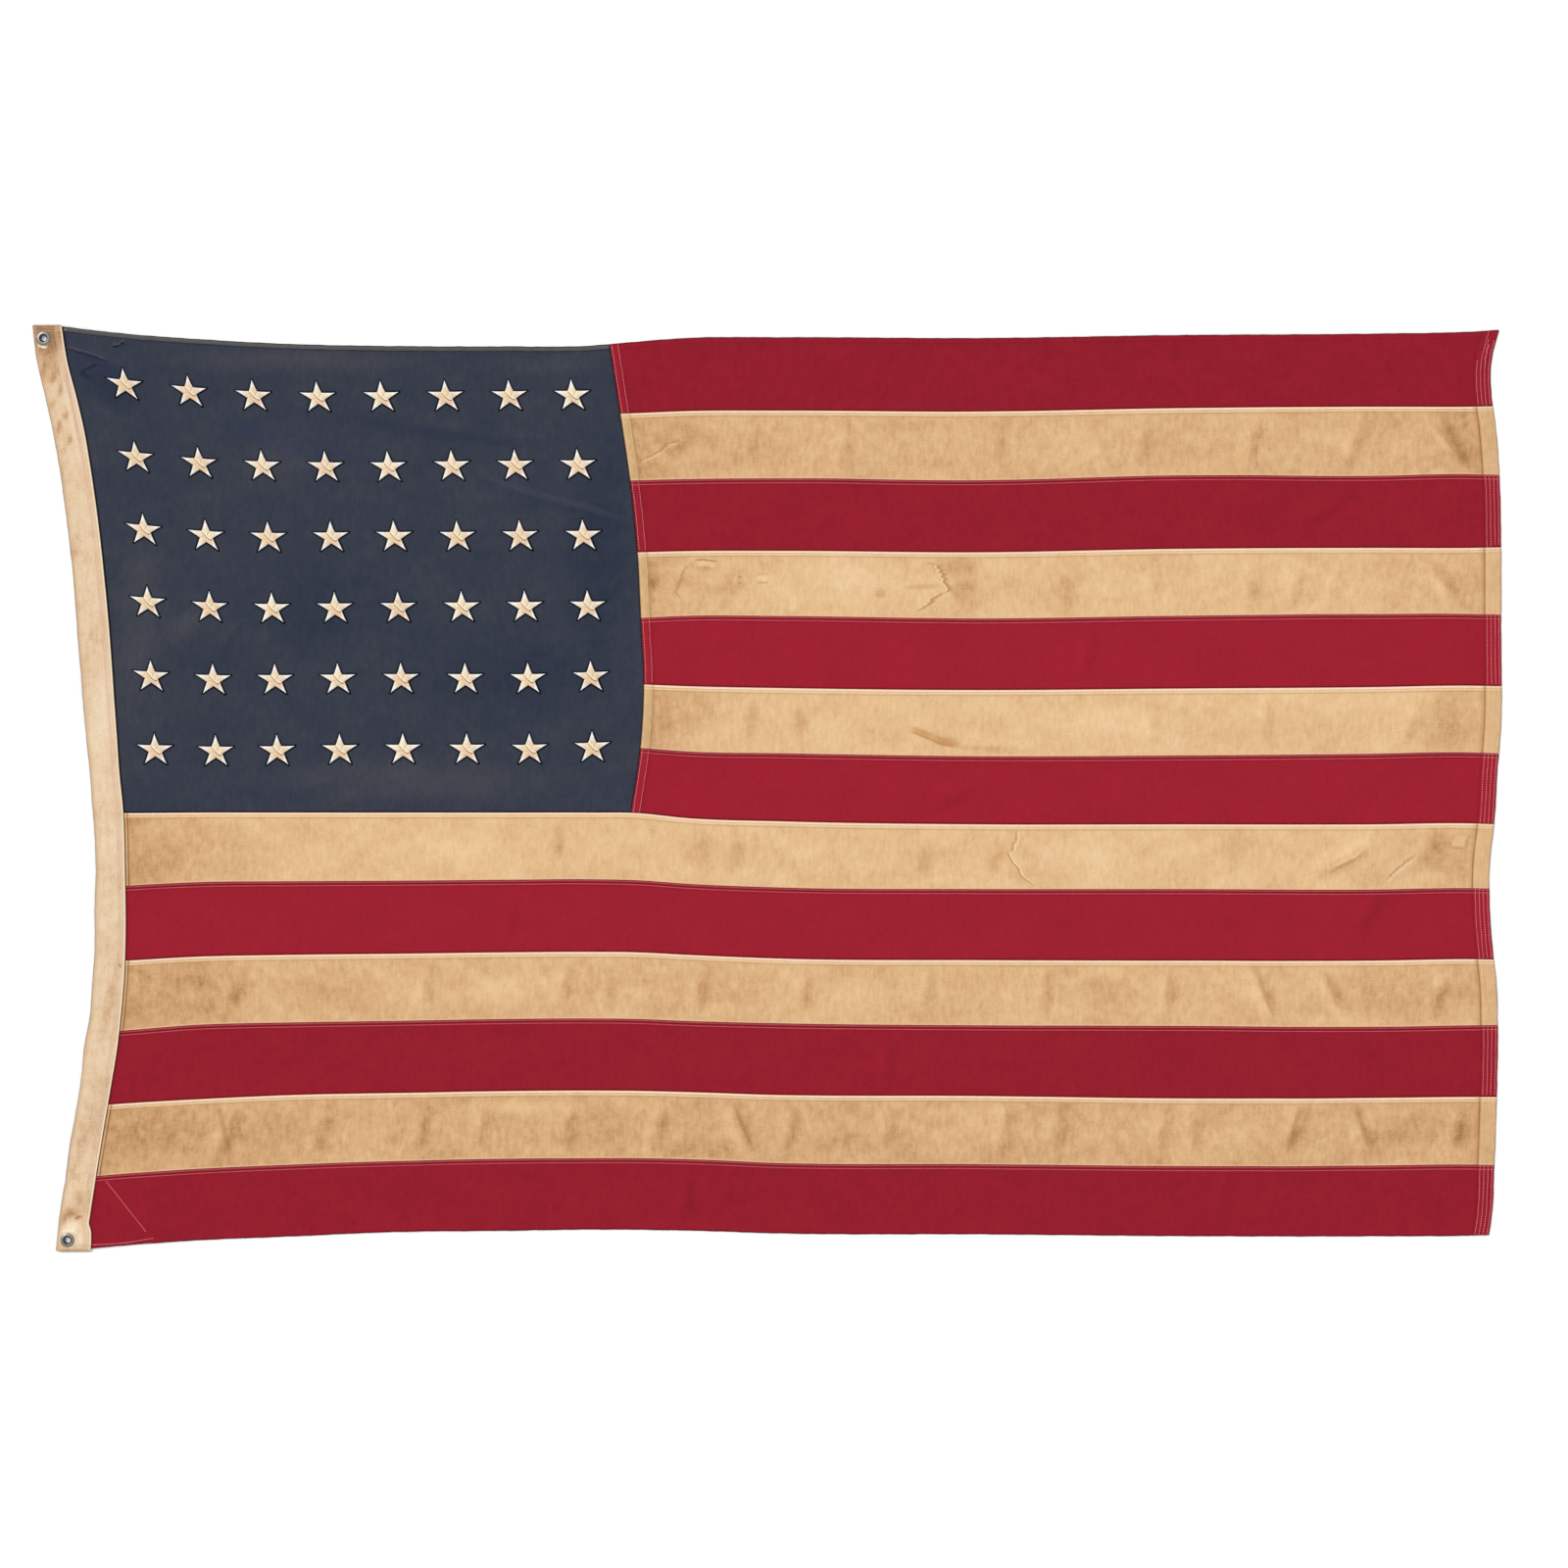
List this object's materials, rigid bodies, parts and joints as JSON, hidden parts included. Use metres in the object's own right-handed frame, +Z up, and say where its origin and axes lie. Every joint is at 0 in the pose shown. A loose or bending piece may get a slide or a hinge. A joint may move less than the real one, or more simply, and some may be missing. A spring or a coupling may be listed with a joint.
{
  "type": "striped cotton flag laid flat",
  "caption": "Aged cotton flag laid flat: blue canton with raised stars, felled stripes, canvas heading and metal eyelets.",
  "frame": {"origin": "on the surface that the flag lies on, under the middle of its outline", "axes": "+X along the stripes toward the fly, +Y toward the top edge, +Z up from the surface, out of the face with the raised stars"},
  "size_m": [2.4727, 1.5584, 0.0063],
  "materials": {
    "navy_cotton": "matte plain weave, with cream satin-stitched stars",
    "red_cotton": "matte plain weave",
    "tan_cotton": "matte slubby plain weave, yellowed and water stained",
    "aged_canvas": "matte folded canvas, soiled along its edges",
    "grey_metal": "dull plated metal, worn"
  },
  "bodies": {
    "root": {"canton": "navy_cotton", "short_red_01": "red_cotton", "short_tan_02": "tan_cotton", "short_red_03": "red_cotton", "short_tan_04": "tan_cotton", "short_red_05": "red_cotton", "short_tan_06": "tan_cotton", "short_red_07": "red_cotton", "long_tan_08": "tan_cotton", "long_red_09": "red_cotton", "long_tan_10": "tan_cotton", "long_red_11": "red_cotton", "long_tan_12": "tan_cotton", "long_red_13": "red_cotton", "heading": "aged_canvas", "eyelet_top": "grey_metal", "eyelet_bottom": "grey_metal"}
  },
  "joints": []
}
